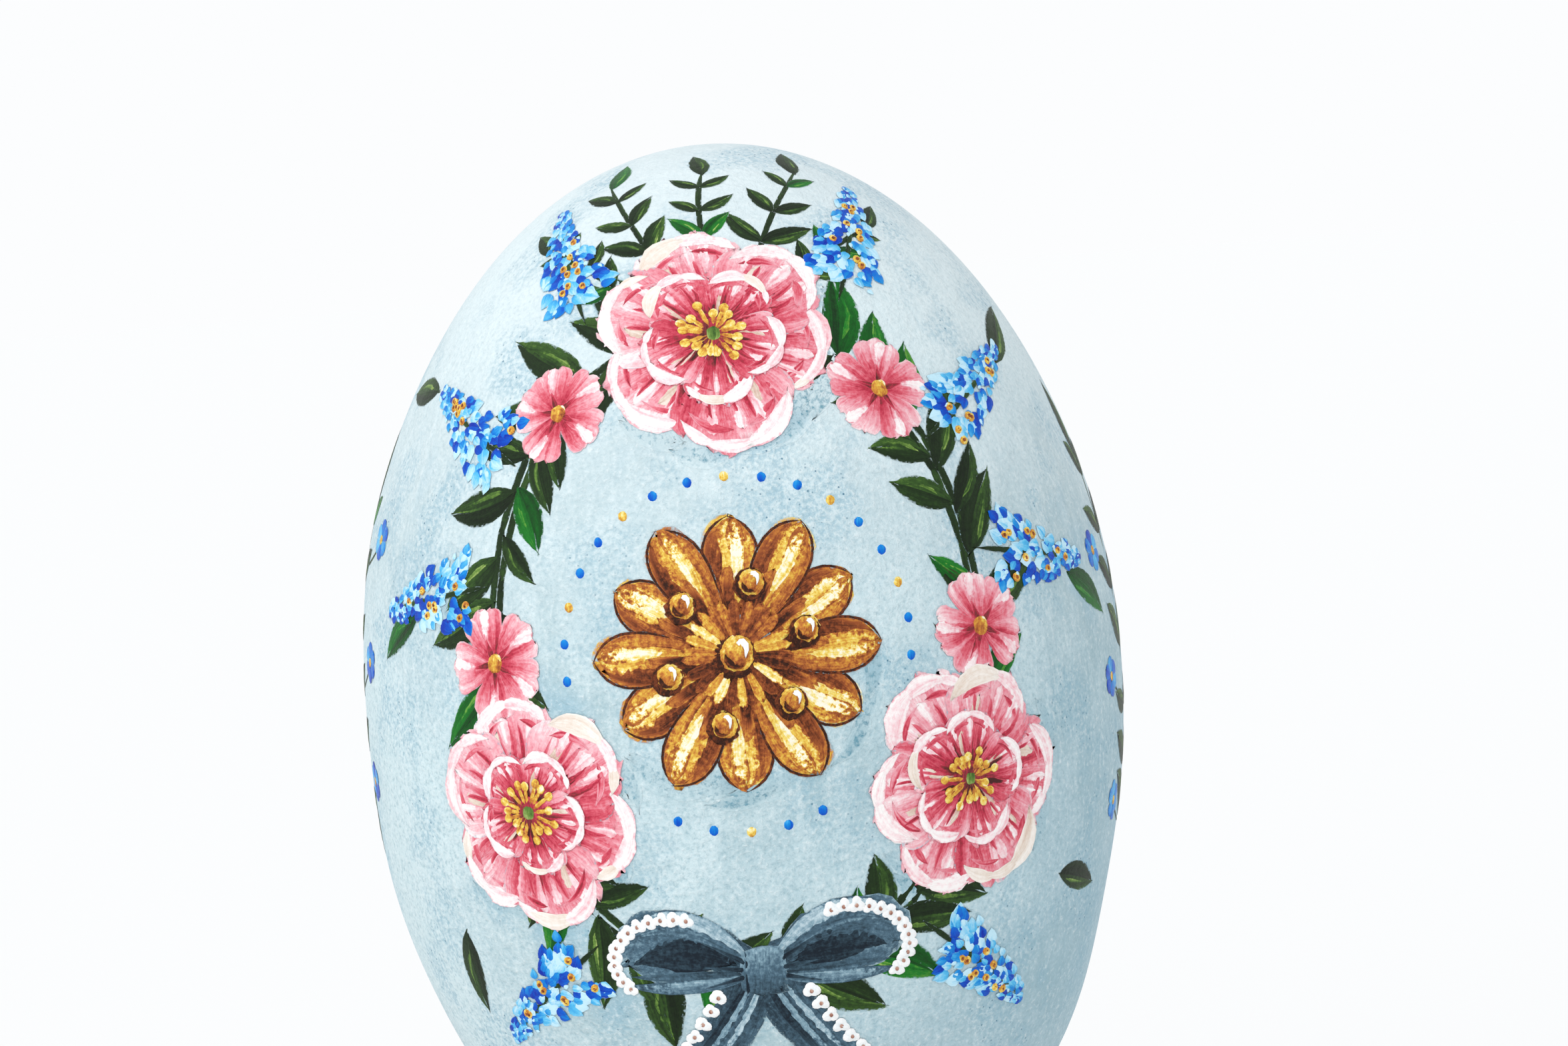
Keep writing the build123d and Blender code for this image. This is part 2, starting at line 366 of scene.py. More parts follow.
def zincFinish(tree):
    spot = add(tree, "TexCoord").outputs["Object"]
    bloom = add(tree, "TexNoise", {"Vector": spot, "Scale": perMetre(zinc["bloom"]), "Detail": 2.0})
    colour = add(tree, "ValToRGB", [bloom], [
        (0.35, zinc["blue"]), (0.5, zinc["grey"]), (0.66, zinc["yellow"])])
    scuff = add(tree, "TexNoise", {"Vector": spot, "Scale": perMetre(zinc["scuff"]), "Detail": 3.0})
    rough = add(tree, "MapRange", (scuff, 0.3, 0.7, *zinc["roughness"]))
    return add(tree, "BsdfPrincipled", {"Base Color": colour, "Metallic": 1.0, "Roughness": rough})


dress(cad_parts["stem_screw"], makeMaterial("zinc plated steel", zincFinish))
print("stage: stand finishes")

# Felt ring under the egg and felt pad under the foot, cut from pressed wool sheet
felt = {
    "seatCircle": 19.0,         # mm, radius of the circle on which the egg rests
    "seatWidth": 6.0,           # up the slope
    "seatThick": 1.2,
    "seatGap": 0.2,
    "padRadius": 27.0,
    "padThick": 1.5,
    "cutRound": 0.3,            # rounding of the cut edges
    "fuzz": 0.05,               # unevenness of the nap
    "tufts": (0.9, 4.0),        # sizes of the unevenness
    "steps": 144,
    "deep": "#1d3326", "middle": "#2c4a38", "pale": "#41624d",
    "fibre": (0.16, 1.6, 0.16),  # drawn as thick threads, because single wool fibres don't show
    "fibreTurns": (25, 100, 160),
    "fibreDepth": 0.2,
}


def feltFinish(tree):  # pressed wool: matt, tangled short fibres and a pale nap at the edges
    spot = add(tree, "TexCoord").outputs["Object"]
    tangle = 0.0
    for turn in felt["fibreTurns"]:
        laid = add(tree, "Mapping", {
            "Vector": spot, "Rotation": (0.5, 0.3, math.radians(turn)),
            "Scale": [perMetre(c) for c in felt["fibre"]]})
        fibres = add(tree, "TexNoise", {"Vector": laid, "Scale": 1.0, "Detail": 2.0, "Distortion": 0.8})
        tangle = add(tree, "Math", (tangle, fibres), operation="MAXIMUM")
    colour = add(tree, "ValToRGB", [tangle], [
        (0.42, felt["deep"]), (0.58, felt["middle"]), (0.76, felt["pale"])])
    relief = add(tree, "Bump", {"Height": tangle, "Strength": 1.0, "Distance": felt["fibreDepth"] * mm})
    return add(tree, "BsdfPrincipled", {
        "Base Color": colour, "Roughness": 0.95, "IOR": 1.45, "Specular IOR Level": 0.2, "Sheen Weight": 0.35,
        "Sheen Roughness": 0.5, "Sheen Tint": linear(felt["pale"]), "Normal": relief})


def startSection(name, wide, high, tilt, middle, disc):  # upright strip with rounded corners, to be spun
    clearSelection()
    bpy.ops.mesh.primitive_plane_add(size=1, location=(0, 0, 0))
    piece = bpy.context.object
    piece.name = name
    onAxis = lambda place: place.x < 0.01 * mm
    enter("EDIT")
    bpy.ops.mesh.select_all(action="SELECT")
    bpy.ops.transform.resize(value=(wide * mm, high * mm, 1))
    enter("OBJECT")
    turn = Matrix.Rotation(-tilt, 4, "Y") @ Matrix.Rotation(math.radians(90), 4, "X")
    piece.data.transform(Matrix.Translation(Vector(middle) * mm) @ turn)
    pick(piece, "VERT", lambda place: not (disc and onAxis(place)))
    bpy.ops.mesh.bevel(offset=felt["cutRound"] * mm, segments=3, affect="VERTICES")
    bpy.ops.mesh.select_all(action="SELECT")
    bpy.ops.mesh.delete(type="ONLY_FACE")
    if disc:  # the edge on the axis goes, and the poles close after the spin
        pick(piece, "EDGE", lambda start, end: onAxis(start) and onAxis(end))
        bpy.ops.mesh.delete(type="EDGE_FACE")
    enter("OBJECT")
    return piece


def spinFelt(piece, cuts):
    makeActive(piece)
    pick(piece, "EDGE", lambda start, end: (start - end).length > 2 * felt["cutRound"] * mm)
    bpy.ops.mesh.subdivide(number_cuts=cuts)
    bpy.ops.mesh.select_all(action="SELECT")
    bpy.ops.mesh.spin(steps=felt["steps"], angle=2 * math.pi, center=(0, 0, 0), axis=(0, 0, 1))
    bpy.ops.mesh.select_all(action="SELECT")
    bpy.ops.mesh.remove_doubles(threshold=0.002 * mm)
    bpy.ops.mesh.normals_make_consistent(inside=False)
    enter("OBJECT")
    for vertex in piece.data.vertices:  # uneven nap, inside the cut size
        soft = sum(noise.noise(vertex.co / (size * mm)) for size in felt["tufts"])
        vertex.co -= vertex.normal * max(0.0, 0.5 + 0.5 * soft) * felt["fuzz"] * mm
    bpy.ops.object.shade_smooth()
    dress(piece, woolFelt)
    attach(piece, "stand")
    print("felt", piece.name, [round(c / mm, 2) for c in piece.dimensions])


woolFelt = makeMaterial("pressed wool felt", feltFinish)
drop = math.sqrt(1 - (felt["seatCircle"] / egg["radius"]) ** 2)
seatTilt = math.atan2(felt["seatCircle"] / egg["radius"] ** 2, drop / egg["lower"])
below = felt["seatGap"] + felt["seatThick"] / 2
seatHeight = egg["pole"] + egg["lower"] * (1 - drop) - below * math.cos(seatTilt)
seatMiddle = (felt["seatCircle"] + below * math.sin(seatTilt), 0, seatHeight)
seatPiece = startSection("seat_felt_ring", felt["seatWidth"], felt["seatThick"], seatTilt, seatMiddle, False)
spinFelt(seatPiece, 6)
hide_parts("seat_felt")
padMiddle = (felt["padRadius"] / 2, 0, felt["padThick"] / 2)
padPiece = startSection("foot_felt_disc", felt["padRadius"], felt["padThick"], 0, padMiddle, True)
spinFelt(padPiece, 24)
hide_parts("foot_pad")
print("stage: felt")

eggPiece = makeEgg()
dress(eggPiece, makeMaterial("matt acrylic ground", groundFinish))
drillEgg(eggPiece, bareLimewood)
makeActive(eggPiece)
bpy.ops.object.shade_smooth_by_angle(angle=math.radians(egg["crease"]))
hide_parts("egg_body")
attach(eggPiece, "egg")
print("stage: egg")

# Brushwork: every stroke is a copy of one flat strip of paint, bent along its path and laid on the egg
brush = {
    "strips": {"fine": (12, 4), "small": (6, 4), "line": (12, 2), "broad": (18, 8)},  # faces along, across
    "firstCoat": 0.012,     # mm, paint above the ground coat
    "coatStep": 0.009,      # between coats of paint
    "coatDrift": 0.004,
    "leastWidth": 0.05,
    "wobble": 0.02,         # unevenness of the edges, as a share of the width
    "crest": 1.3,           # how far the middle of a stroke stands up, and how far its edge sinks in
    "sunk": 0.35,
    "dryFrom": 0.3,         # where along its way a brush begins to run dry
    "grip": (0.9, 1.14),    # cover and tooth together: below the first no paint holds, above the second all
    "streak": 0.13,         # how far the bristles stray from the shade
    "bristle": (0.35, 5.0, 1.0),  # streaks per mm along and across the stroke
    "ridge": 0.08,          # mm, height of the bristle marks
    "poleRadius": 1.5,      # mm, nearer to the egg's poles a motif is no longer spread round them
}
groundBed = -1.0  # marks a stroke that lies on the ground coat and not on other paint
paints = {  # artist's acrylics: roughness, how far the ground's grain shows, mixes from dark to light
    "rose": (0.48, 0.1, [
        (0.0, "#4a2220"), (0.12, "#7f3134"), (0.26, "#bd3048"), (0.42, "#dc5f70"), (0.58, "#ec98a5"),
        (0.74, "#f5c3ca"), (0.88, "#fbe7e9"), (1.0, "#fefaf8")]),
    "cream": (0.46, 0.08, [
        (0.0, "#5e3329"), (0.25, "#8c5646"), (0.5, "#c9a08f"), (0.72, "#e7d6c7"), (1.0, "#fdf7f0")]),
    "blue": (0.34, 0.06, [
        (0.0, "#052ba6"), (0.25, "#0558ca"), (0.5, "#118cdc"), (0.75, "#5bc1ef"), (1.0, "#c6ecfb")]),
    "leaf": (0.45, 0.1, [
        (0.0, "#0f1c0c"), (0.3, "#1f3417"), (0.55, "#385824"), (0.75, "#688a3c"), (1.0, "#bccb7c")]),
    "fresh": (0.4, 0.08, [
        (0.0, "#0b2f10"), (0.3, "#0e5a1a"), (0.55, "#1d7a25"), (0.75, "#6a9f3e"), (1.0, "#c9dc8a")]),
    "gold": (0.42, 0.2, [
        (0.0, "#33190f"), (0.16, "#6b341b"), (0.32, "#98502a"), (0.48, "#c47a35"), (0.62, "#dba640"),
        (0.76, "#f0d25f"), (0.88, "#f8e7a0"), (1.0, "#fef8e4")]),
    "slate": (0.54, 0.17, [
        (0.0, "#14202b"), (0.25, "#304552"), (0.5, "#4f6c7e"), (0.75, "#86a5b4"), (1.0, "#c4d8e0")]),
    "white": (0.46, 0.12, [(0.0, "#b4c6cc"), (0.5, "#e6eff1"), (1.0, "#ffffff")]),
    "teal": (0.6, 0.1, [(0.0, "#2c6279"), (0.5, "#5c90a3"), (1.0, "#8fb5c2")]),
}


def roundTip(u):
    return math.sqrt(max(0.0, 1 - (max(0.0, u - 0.7) / 0.3) ** 2))


strokeShapes = {  # width along the stroke
    "leaf": lambda u: math.sin(math.pi * u ** 0.85) ** 0.85,
    "tongue": lambda u: (0.3 + 0.7 * u ** 0.8) * roundTip(u),
    "comma": lambda u: roundTip(1 - u) * (1 - u) ** 0.6,
    "line": lambda u: min(1.0, 7 * u, 5 * (1 - u)) ** 0.6,
    "round": lambda u: math.sqrt(max(0.0, 1 - (2 * u - 1) ** 2)),
    "drop": lambda u: 2.6 * math.sqrt(u) * (1 - u),
    "flat": lambda u: min(1.0, 14 * u, 14 * (1 - u)) ** 0.4,
}


def makeStrip(along, across):
    clearSelection()
    bpy.ops.mesh.primitive_grid_add(x_subdivisions=along, y_subdivisions=across, size=1, location=(0, 0, 0))
    flat = bpy.context.object
    points = [(round(v.co.x + 0.5, 4), round(v.co.y, 4)) for v in flat.data.vertices]
    faces = [tuple(face.vertices) for face in flat.data.polygons]
    bpy.data.objects.remove(flat)
    return points, faces


strips = {kind: makeStrip(*count) for kind, count in brush["strips"].items()}

# Lengths along the egg's side, to measure on the curved surface as with a tape
tapeSteps = 720
tapeArcs, tapeLevels = [0.0], [0.0]
for step in range(1, tapeSteps + 1):
    turn = math.pi * step / tapeSteps
    reach = egg["lower"] if turn < math.pi / 2 else egg["upper"]
    level = egg["lower"] - reach * math.cos(turn)
    run = math.hypot(level - tapeLevels[-1], eggRadius(level) - eggRadius(tapeLevels[-1]))
    tapeArcs.append(tapeArcs[-1] + run)
    tapeLevels.append(level)


def between(keys, values, key):
    after = min(max(bisect(keys, key), 1), len(keys) - 1)
    share = (key - keys[after - 1]) / (keys[after] - keys[after - 1])
    return values[after - 1] + (values[after] - values[after - 1]) * min(max(share, 0.0), 1.0)


# A spot is a place to paint: on which sheet and coat, where, which way is up, how large it turned out,
# and how many mm one of the motif's own lengths is
def spotAt(sheet, angle, height, turn=0.0, size=1.0, unit=1.0, coat=0):
    arc = between(tapeLevels, tapeArcs, height)
    return {"sheet": sheet, "hand": sheet["hand"], "angle": angle, "arc": arc, "turn": turn, "size": size,
            "unit": unit, "coat": coat}


def measured(spot, x, y):  # angle and height of a point x mm to the right and y mm up from the spot
    c, s = math.cos(math.radians(spot["turn"])), math.sin(math.radians(spot["turn"]))
    right, up = (x * c - y * s) * spot["size"], (x * s + y * c) * spot["size"]
    height = between(tapeArcs, tapeLevels, spot["arc"] + up)
    return spot["angle"] + math.degrees(right / max(eggRadius(height), brush["poleRadius"])), height


def shifted(spot, x, y, turn=0.0, size=1.0, unit=1.0, up=0):  # another spot, up so many coats of paint
    angle, height = measured(spot, x * spot["unit"], y * spot["unit"])
    turn += spot["turn"]
    size *= spot["size"]
    return spotAt(spot["sheet"], angle, height, turn, size, unit, spot["coat"] + up)


def ray(turn, out):  # point at a distance in a direction, 0 straight up
    return out * math.sin(math.radians(turn)), out * math.cos(math.radians(turn))


def rays(*ends):
    return [ray(turn, out) for turn, out in ends]


def bent(path, at):  # point of the curve from a start to an end, pulled towards the point between
    return [(1 - at) ** 2 * a + 2 * at * (1 - at) * b + at * at * c for a, b, c in zip(*path)]


def newSheet(seed):
    lists = {name: [] for name in ("points", "faces", "paint", "shade", "cover", "bed", "brush")}
    return dict(lists, hand=random.Random(seed))


def stroke(spot, path, width, shape, shade, paint, coat=0, lift=0.012, dry=0.0, bed=groundBed,
           thin=0.0, soft=0.4, ragged=0.05, lanes=0.06, strip=None):
    sheet, hand = spot["sheet"], spot["hand"]
    points, faces = strips[strip or ("line" if shape == "line" else "fine")]
    path = [(x * spot["unit"], y * spot["unit"]) for x, y in path]
    width *= spot["unit"]
    length = max(math.dist(path[0], path[1]) + math.dist(path[1], path[2]), 0.01)
    slide = (hand.uniform(0, 40), hand.uniform(0, 40))
    low = brush["firstCoat"] + (spot["coat"] + coat) * brush["coatStep"] + hand.uniform(0, brush["coatDrift"])
    bristles = {}
    first = len(sheet["points"])
    for u, v in points:
        if v not in bristles:
            bristles[v] = (
                hand.gauss(0, lanes), hand.uniform(-1, 1), hand.uniform(-1, 1), hand.uniform(0.6, 1.2))
        tone, early, late, load = bristles[v]
        along = 0.5 - 0.5 * math.cos(math.pi * u)
        at = along + ragged * (early * (1 - along) ** 4 + late * along ** 4)
        x, y = bent(path, at)
        dx, dy = [(1 - at) * (b - a) + at * (c - b) for a, b, c in zip(*path)]
        wide = max(width * strokeShapes[shape](along), brush["leastWidth"]) * v
        wide = (wide + width * brush["wobble"] * hand.gauss(0, 1)) / (math.hypot(dx, dy) or 1.0)
        rim = max(0.0, 1 - (2 * v) ** 2)
        dome = rim * min(1.0, 5 * along, 5 * (1 - along))
        angle, level = measured(spot, x - dy * wide, y + dx * wide)
        body = dome * load * brush["crest"] - brush["sunk"]
        sheet["points"].append(onEgg(angle, level, low + lift * body))
        sheet["shade"].append(shade[0] + (shade[1] - shade[0]) * along + tone)
        edge = soft if rim < 0.05 or along in (0.0, 1.0) else 0.0
        run = max(0.0, along - brush["dryFrom"]) / (1 - brush["dryFrom"])
        sheet["cover"].append(1 - thin - dry * run - edge)
        sheet["bed"].append(bed)
        sheet["brush"].append((slide[0] + along * length, slide[1] + v * width))
    sheet["faces"] += [tuple(first + i for i in face) for face in faces]
    sheet["paint"] += [paint] * len(faces)


def dab(spot, x, y, turn, length, width, shade, paint, coat, lift=0.03, bed=groundBed, strip="small",
        shape="round"):
    dx, dy = ray(turn, length / 2)
    path = [(x - dx, y - dy), (x, y), (x + dx, y + dy)]
    stroke(spot, path, width, shape, shade, paint, coat, lift, bed=bed, ragged=0.03, strip=strip)


# Motifs. Lengths are shares of the motif's own size or mm, shades run from 0, dark, to 1, light
smallBrush = {"dry": 0.8, "soft": 0.6, "strip": "small"}


def shadow(spot):  # thin dry paint on the ground, below and to the right of a motif
    hand = spot["hand"]
    for k in range(16):
        turn = hand.uniform(60, 230)
        out = hand.uniform(0.86, 1.0)
        path = rays((turn - 14, out), (turn, out * 1.08), (turn + 14, out * hand.uniform(1.0, 1.1)))
        stroke(spot, path, hand.uniform(0.12, 0.24), "leaf", (0.3, 0.7), "teal", lift=0.004,
               thin=hand.uniform(0.5, 0.62), soft=0.3)


def leaf(spot, slim):  # slim is the width as a share of the length
    hand = spot["hand"]
    bend = hand.uniform(-0.2, 0.2)
    tone = hand.uniform(-0.08, 0.12)
    green = "fresh" if hand.random() < 0.2 else "leaf"
    for edge, start, end in ((-0.5, 0.08, 0.2), (0.5, 0.26, 0.5)):  # dark half and light half
        path = [(0, 0), (bend + edge * slim, 0.48), (bend * 0.7, 1)]
        stroke(spot, path, 0.64 * slim, "leaf", (start + tone, end + tone), green, dry=0.2)
    path = [(0.1 * slim, 0.2), (bend + 0.42 * slim, 0.5), (bend * 0.63, 0.85)]
    stroke(spot, path, 0.24 * slim, "comma", (0.7 + tone, 0.56), green, 1, bed=0.42,
           **dict(smallBrush, dry=0.9))
    path = [(0, 0.04), (bend * 0.95, 0.5), (bend * 0.665, 0.9)]
    vein = hand.choice((0.1, 0.5, 0.75))
    stroke(spot, path, 0.1 * slim, "line", (0.1, vein + tone), green, 1, dry=0.3, bed=0.3)


sprigLeaf = 0.36  # width of its leaves as a share of their length


def sprig(spot, length, pairs, leafLength):  # stem with paired leaves and one at the tip
    hand = spot["hand"]
    stem = [(0, 0), (hand.uniform(-0.12, 0.12) * length, 0.5 * length), (0, length)]
    stroke(spot, stem, 0.55, "line", (0.1, 0.4), "leaf")
    for k in range(pairs):
        share = (k + 0.6) / (pairs + 0.4)
        for edge in (-1, 1):
            size = leafLength * (1 - 0.35 * share) * hand.uniform(0.85, 1.1)
            turn = edge * hand.uniform(42, 62)
            leaf(shifted(spot, *bent(stem, share), turn, unit=size, up=1), sprigLeaf)
    leaf(shifted(spot, 0, 0.94 * length, hand.uniform(-12, 12), unit=leafLength, up=1), sprigLeaf)


def arched(a, b, rim):  # curve from one direction to another along a petal's rim
    start, end = Vector(ray(a, rim(a))), Vector(ray(b, rim(b)))
    return [start, 2 * Vector(ray((a + b) / 2, rim((a + b) / 2))) - (start + end) / 2, end]


blossomForm = {
    "outerSpread": 32.0, "innerSpread": 34.0,   # degrees to each side
    "inner": 5, "innerReach": 0.6, "stamens": 17,
    # paint on the thick rims: colour, shades, paint below
    "rims": [("rose", (0.86, 0.98), 0.76)] * 4 + [("cream", (0.78, 0.94), 0.95)],
}
dryBrush = {"dry": 0.9, "soft": 0.6, "lanes": 0.08}
dampBrush = dict(dryBrush, lift=0.004, dry=0.8)


def petal(spot, spread, tone, shaded):
    hand = spot["hand"]
    rim = lambda lean: 0.93 - 0.17 * (lean / spread) ** 2
    fold = lambda lean: 0.86 * rim(lean)
    if shaded:  # deep rose on the petals below, along both edges
        for edge in (-spread, spread):
            path = rays((edge, 0.2), (edge * 1.25, 0.5), (edge * 1.1, 0.76))
            stroke(spot, path, 0.16, "leaf", (0.1, 0.26), "rose", -0.4, bed=0.5, **dict(dampBrush, dry=0.5))
    for k in (-4, 4, -3, 3, -2, 2, -1, 1, 0):  # fan of loaded strokes from the middle to the rim
        lean = spread * k / 4 + hand.uniform(-2, 2)
        out = 1.06 * rim(lean) - (0 if k else 0.06) + hand.uniform(-0.03, 0.03)
        pale = 0.7 + tone - 0.03 * k + hand.uniform(-0.1, 0.1)
        path = rays((lean * 0.5, 0.1), (lean * 1.15, 0.56 * out), (lean, out))
        stroke(spot, path, 0.3, "tongue", (0.24 + tone, pale), "rose", dry=0.05, lanes=0.07)
    for share in (-0.7, -0.25, 0.2, 0.65):  # deep colour drawn out of the middle
        lean = spread * share + hand.uniform(-5, 5)
        out = hand.uniform(0.5, 0.8)
        path = rays((lean, hand.uniform(0.1, 0.3)), (lean * 1.15, 0.7 * out), (lean, out))
        dark = hand.uniform(0.04, 0.32) + tone
        wide = hand.uniform(0.07, 0.14)
        stroke(spot, path, wide, "comma", (dark, dark + 0.2), "rose", 1, bed=0.5 + tone, **dryBrush)
    for share in (-0.55, 0.0, 0.45):  # pale folds down the petal
        lean = spread * share + hand.uniform(-6, 6)
        path = rays((lean, hand.uniform(0.8, 0.88)), (lean * 1.1, 0.66), (lean, hand.uniform(0.42, 0.56)))
        wide = hand.uniform(0.1, 0.17)
        stroke(spot, path, wide, "comma", (0.86, 0.7), "rose", 1, 0.015, bed=0.62 + tone, **dryBrush)
    for begin, end in ((-0.9, -0.1), (0.2, 0.95)):  # deeper rose in the fold under the rim
        path = arched(spread * begin + hand.uniform(-4, 4), spread * end + hand.uniform(-4, 4), fold)
        dark = hand.uniform(0.28, 0.4)
        wide = hand.uniform(0.05, 0.09)
        stroke(spot, path, wide, "leaf", (dark, dark + 0.1), "rose", 2, bed=0.6 + tone, **dampBrush)
    for begin, end, wide in ((-1.0, 0.2, 0.17), (-0.25, 0.75, 0.13), (0.4, 1.0, 0.1)):  # thick pale rim
        path = arched(spread * begin + hand.uniform(-3, 3), spread * end + hand.uniform(-5, 3), rim)
        paint, shades, bed = hand.choice(blossomForm["rims"])
        wide *= hand.uniform(0.75, 1.15)
        stroke(spot, path, wide, "leaf", shades, paint, 3, 0.03, dry=0.3, soft=0.5, bed=bed)
    for share in (-0.45, 0.1, 0.6):  # crimson lines of a fine brush
        lean = spread * share + hand.uniform(-6, 6)
        path = rays((lean, hand.uniform(0.25, 0.5)), (lean * 1.2 + 4, 0.6), (lean, hand.uniform(0.68, 0.8)))
        stroke(spot, path, 0.045, "line", (0.22, 0.3), "rose", 2, dry=0.4, bed=0.5)
    path = rays((-spread * 0.4, 0.72), (-spread * 0.75, 0.5), (-spread * 0.5, 0.26))  # cream in the fold
    stroke(spot, path, 0.13, "comma", (0.72, 0.5), "cream", 1, dry=0.5, soft=0.5, bed=0.5)


def blossom(spot):  # double flower: six broad petals, five small ones, gold stamens
    hand = spot["hand"]
    start = hand.uniform(0, 60)
    for order, k in enumerate((0, 2, 4, 1, 3, 5)):  # three petals, then three over them
        over = order > 2
        turn = start + 60 * k + hand.uniform(-5, 5)
        lit = 0.06 * math.sin(math.radians(turn + 45))
        grown = shifted(spot, 0, 0, turn, hand.uniform(0.92, 1.04), spot["unit"], 4 * over)
        petal(grown, blossomForm["outerSpread"], lit, over)
    reach = spot["unit"] * blossomForm["innerReach"]
    for k in range(blossomForm["inner"]):
        turn = start + 30 + 360 / blossomForm["inner"] * k + hand.uniform(-7, 7)
        grown = shifted(spot, 0, 0, turn, hand.uniform(0.9, 1.08), reach, 8 + 4 * (k % 2))
        petal(grown, blossomForm["innerSpread"], -0.13, True)
    heart = shifted(spot, 0, 0, unit=spot["unit"], up=16)
    dab(heart, 0, 0, 0, 0.3, 0.3, (0.04, 0.2), "rose", 0, bed=0.3)
    for k in range(blossomForm["stamens"]):
        turn = 360 / blossomForm["stamens"] * k + hand.uniform(-7, 7)
        out = hand.uniform(0.15, 0.27)
        path = rays((turn, 0.03), (turn, 0.5 * out), (turn, out))
        stroke(heart, path, 0.035, "line", (0.4, 0.7), "gold", 1, bed=0.3)
        shades = (hand.uniform(0.45, 0.75), 0.8)
        dab(heart, *ray(turn, out), turn, 0.085, 0.075, shades, "gold", 2, bed=0.5)
    dab(heart, 0, 0, 0, 0.14, 0.14, (0.85, 0.6), "leaf", 2, bed=0.5)


def posy(spot):  # small five-petal flower of single strokes
    hand = spot["hand"]
    start = hand.uniform(0, 72)
    for k in range(5):
        turn = start + 72 * k + hand.uniform(-8, 8)
        tone = hand.uniform(-0.08, 0.08)
        for lean in (-17, 17, 0):
            path = rays((turn, 0.08), (turn + lean * 1.4, 0.6), (turn + lean, 0.94 if lean else 0.98))
            stroke(spot, path, 0.5, "tongue", (0.26, 0.72 + tone), "rose", lanes=0.09)
        path = rays((turn + 8, 0.95), (turn, 0.7), (turn - 4, 0.35))
        stroke(spot, path, 0.3, "comma", (0.96, 0.8), "rose", 1, 0.015, bed=0.6, **smallBrush)
        path = rays((turn, 0.1), (turn - 6, 0.3), (turn - 3, 0.55))
        stroke(spot, path, 0.16, "comma", (0.1, 0.3), "rose", 1, bed=0.45, **smallBrush)
    dab(spot, 0, 0, 0, 0.36, 0.36, (0.4, 0.62), "gold", 2, 0.1, 0.4)
    dab(spot, 0.06, 0.08, 0, 0.16, 0.16, (0.85, 0.95), "gold", 3, bed=0.6)


sprayForm = {
    "length": 14.0, "spread": 0.25, "eyes": 9,
    # coats of bells: count, length, width, shades, coat
    "coats": [(9, 2.0, 1.6, (0.0, 0.0), 0), (34, 1.9, 1.6, (0.62, 0.95), 0), (40, 1.45, 1.25, (0.0, 0.42), 1),
              (30, 1.25, 1.05, (0.4, 0.8), 2), (14, 0.7, 0.5, (0.88, 1.0), 3)],
}


def spray(spot):  # cone of small blue bells with ochre eyes
    hand = spot["hand"]
    length = sprayForm["length"]
    path = [(0, share * length) for share in (-0.1, 0.4, 0.9)]
    stroke(spot, path, 0.5, "line", (0.2, 0.5), "leaf")
    for count, long, wide, shades, coat in sprayForm["coats"]:
        for k in range(count):
            share = (k + hand.random()) / count
            half = sprayForm["spread"] * length * (1 - share) ** 0.8 + 0.35
            x, y = hand.uniform(-half, half), length * (0.06 + 0.94 * share)
            turn = 180 - math.degrees(math.atan2(x, 2.2)) + hand.uniform(-25, 25)
            small = 1 - 0.4 * share
            tone = hand.uniform(*shades)
            dab(spot, x, y, turn, long * small, wide * small, (tone, tone + 0.25), "blue", coat, 0.04,
                shape="drop")
    for k in range(sprayForm["eyes"]):
        share = hand.uniform(0.0, 0.7)
        x, y = hand.uniform(-1, 1) * 0.2 * length * (1 - share), length * (0.1 + share)
        dab(spot, x, y, 0, 0.95, 0.85, (hand.uniform(0.5, 0.6), 0.76), "gold", 4, 0.1, 0.5)
        dab(spot, x, y, 30, 0.4, 0.34, (0.2, 0.4), "gold", 13, 0.03, 0.5)


def stud(spot):  # raised drop of thick paint with a dark side and a white glint
    dab(spot, -0.06, -0.08, 20, 1.2, 1.18, (0.0, 0.1), "gold", 0, 0.02, 0.3, "broad")
    dab(spot, 0, 0, 0, 1.05, 1.05, (0.55, 0.7), "gold", 1, 0.12, 0.3, "broad")
    dab(spot, 0, 0, 200, 0.86, 0.86, (0.66, 0.3), "gold", 2, 0.3, 0.5, "broad")
    path = [(-0.3, 0.02), (-0.3, -0.36), (0.12, -0.34)]
    stroke(spot, path, 0.2, "leaf", (0.0, 0.08), "gold", 31, 0.02, bed=0.4, strip="small")
    path = [(0.02, 0.3), (0.34, 0.34), (0.2, -0.1)]
    stroke(spot, path, 0.26, "comma", (1.0, 0.9), "white", 33, 0.03, bed=0.9, strip="small")


rosetteForm = {
    "petals": 12, "inner": 0.26, "wide": 0.42, "outline": 0.26,  # outline in mm
    "rays": 26,
    "studs": 6, "studCircle": 0.5, "studSize": 2.4, "middleStud": 3.3,
    # coats of one petal: side shift, start, end, width, shades, coat, dryness
    "coats": [
        (0.0, 0.0, 1.0, 1.0, (0.26, 0.56), 0, 0.1),
        (-0.3, 0.0, 0.92, 0.5, (0.12, 0.32), 1, 0.5),
        (0.34, 0.05, 0.88, 0.4, (0.34, 0.56), 1, 0.5),
        (0.05, 0.12, 0.98, 0.62, (0.56, 0.82), 2, 0.45),
        (0.12, 0.3, 0.97, 0.34, (0.86, 1.0), 3, 0.65),
        (-0.08, 0.0, 0.5, 0.3, (0.02, 0.2), 3, 0.9),
    ],
}


